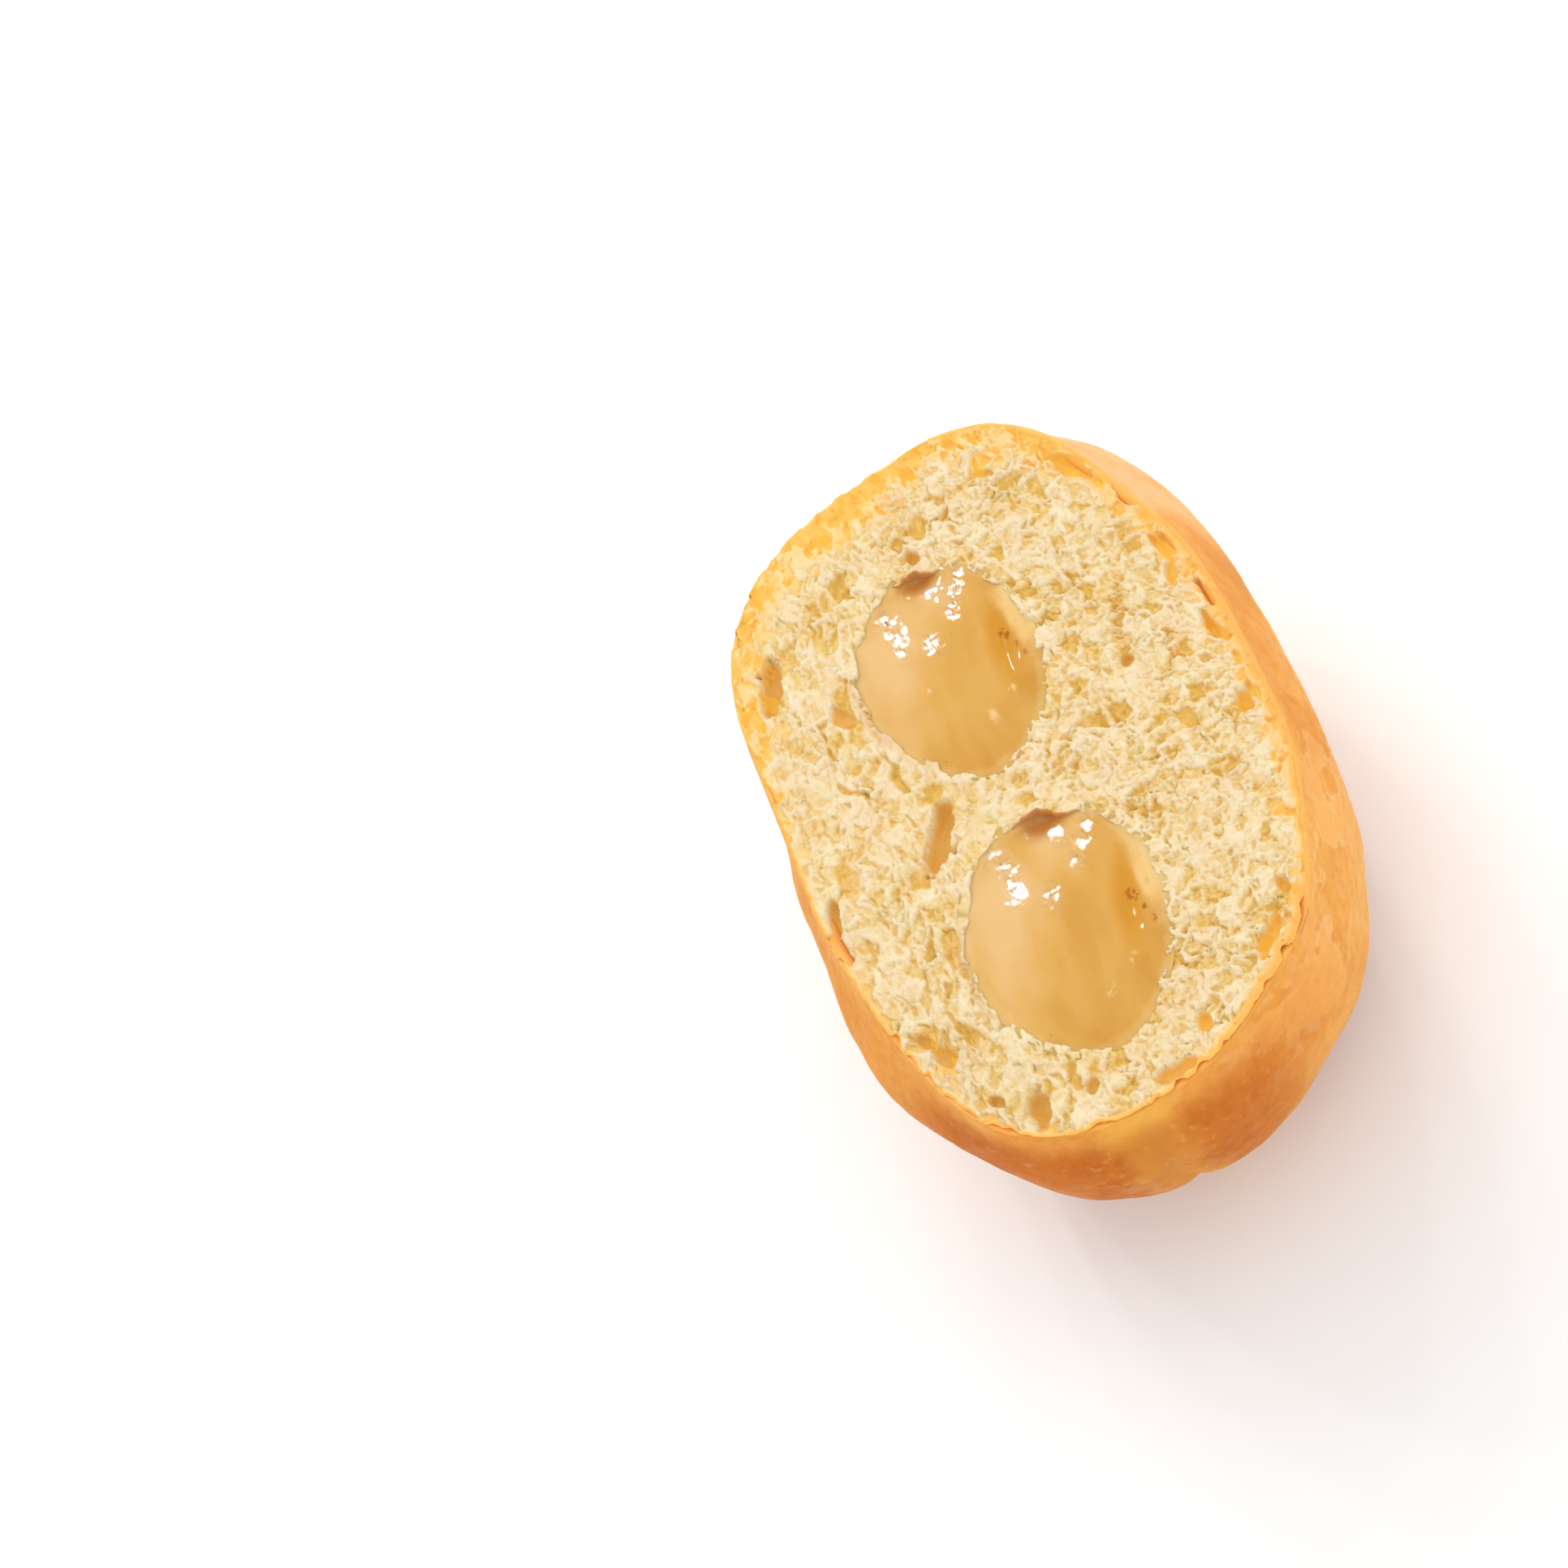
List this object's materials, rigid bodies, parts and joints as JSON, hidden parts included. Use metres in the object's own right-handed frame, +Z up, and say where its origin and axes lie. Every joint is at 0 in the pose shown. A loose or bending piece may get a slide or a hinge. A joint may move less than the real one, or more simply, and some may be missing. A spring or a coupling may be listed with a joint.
{
  "type": "filled doughnut half",
  "caption": "Half of a fried yeast doughnut, cut through its middle, with soft holey crumb and pockets of apple filling in the cut face, lying on its rounded crust.",
  "frame": {"origin": "centre of the small flat spot on the back that the half rests on", "axes": "+Z up through the cut face, +X along the doughnut's diameter, +Y through its height as it was fried"},
  "size_m": [0.0908, 0.063, 0.0422],
  "materials": {
    "dough": "soft fried dough, browned crust and pale crumb",
    "filling": "wet translucent apple gel"
  },
  "bodies": {
    "root": {"dough": "dough", "filling_upper": "filling", "filling_lower": "filling"}
  },
  "joints": []
}
